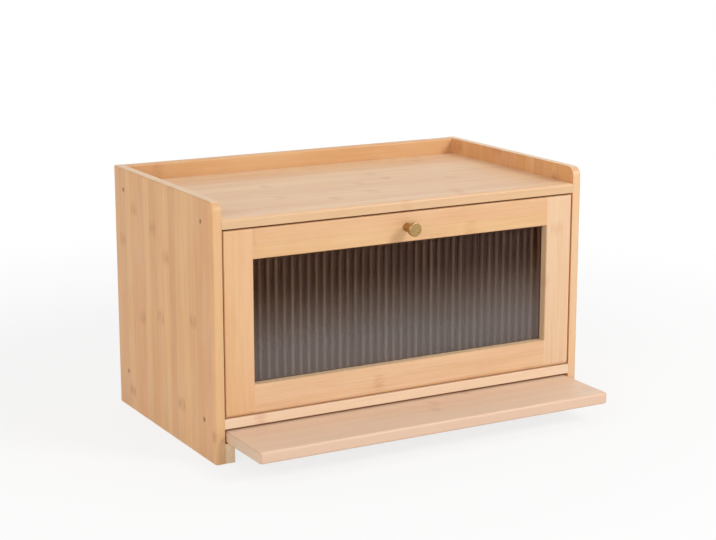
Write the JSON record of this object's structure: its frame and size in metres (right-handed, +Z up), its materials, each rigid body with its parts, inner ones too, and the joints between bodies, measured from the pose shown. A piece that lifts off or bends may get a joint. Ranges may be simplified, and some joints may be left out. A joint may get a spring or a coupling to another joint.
{
  "type": "bread box",
  "caption": "Bamboo bread box with a galleried top, a drop-down door with a reeded clear pane and a pull-out cutting board under the bread compartment.",
  "frame": {"origin": "on the floor that the box stands on, in the middle of the back panel's foot", "axes": "+X across the front to the right, +Y to the back, +Z up; the door faces -Y"},
  "size_m": [0.42, 0.317, 0.255],
  "materials": {
    "bamboo_side": "satin lacquered bamboo, strips upright",
    "bamboo_front": "satin lacquered bamboo",
    "bamboo_board": "oiled pale bamboo",
    "clear_pane": "clear, reeded",
    "brass": "satin",
    "bronze_screw": "dark bronze",
    "bright_steel": "bright zinc",
    "nylon": "brown nylon"
  },
  "bodies": {
    "carcass": {"left_side_panel": "bamboo_side", "right_side_panel": "bamboo_side", "top_panel": "bamboo_front", "bottom_panel": "bamboo_front", "back_panel": "bamboo_side", "left_runner": "bamboo_side", "right_runner": "bamboo_side", "left_side_screws": "bronze_screw", "right_side_screws": "bronze_screw", "back_screws": "bronze_screw", "runner_screws": "bronze_screw", "left_catch_block": "bamboo_side", "right_catch_block": "bamboo_side", "catch_magnets": "bright_steel", "catch_screws": "bronze_screw", "left_hinge_bush": "nylon", "right_hinge_bush": "nylon"},
    "door": {"left_stile": "bamboo_front", "right_stile": "bamboo_front", "top_rail": "bamboo_front", "bottom_rail": "bamboo_front", "door_dowels": "bamboo_side", "reeded_pane": "clear_pane", "top_bead": "bamboo_front", "bottom_bead": "bamboo_front", "left_bead": "bamboo_front", "right_bead": "bamboo_front", "strike_plates": "bright_steel", "door_knob": "brass", "knob_screw": "bright_steel", "left_hinge_pin": "bright_steel", "right_hinge_pin": "bright_steel"},
    "board": {"cutting_board": "bamboo_board"}
  },
  "joints": [
    {"name": "door_drop", "type": "hinge", "parent": "carcass", "child": "door", "pos_m": [0, -0.2356, 0.0486], "axis": [1, 0, 0], "range_deg": [0, 90]},
    {"name": "board_slide", "type": "slide", "parent": "carcass", "child": "board", "axis": [0, -1, 0], "range_m": [-0.072, 0.073]}
  ]
}
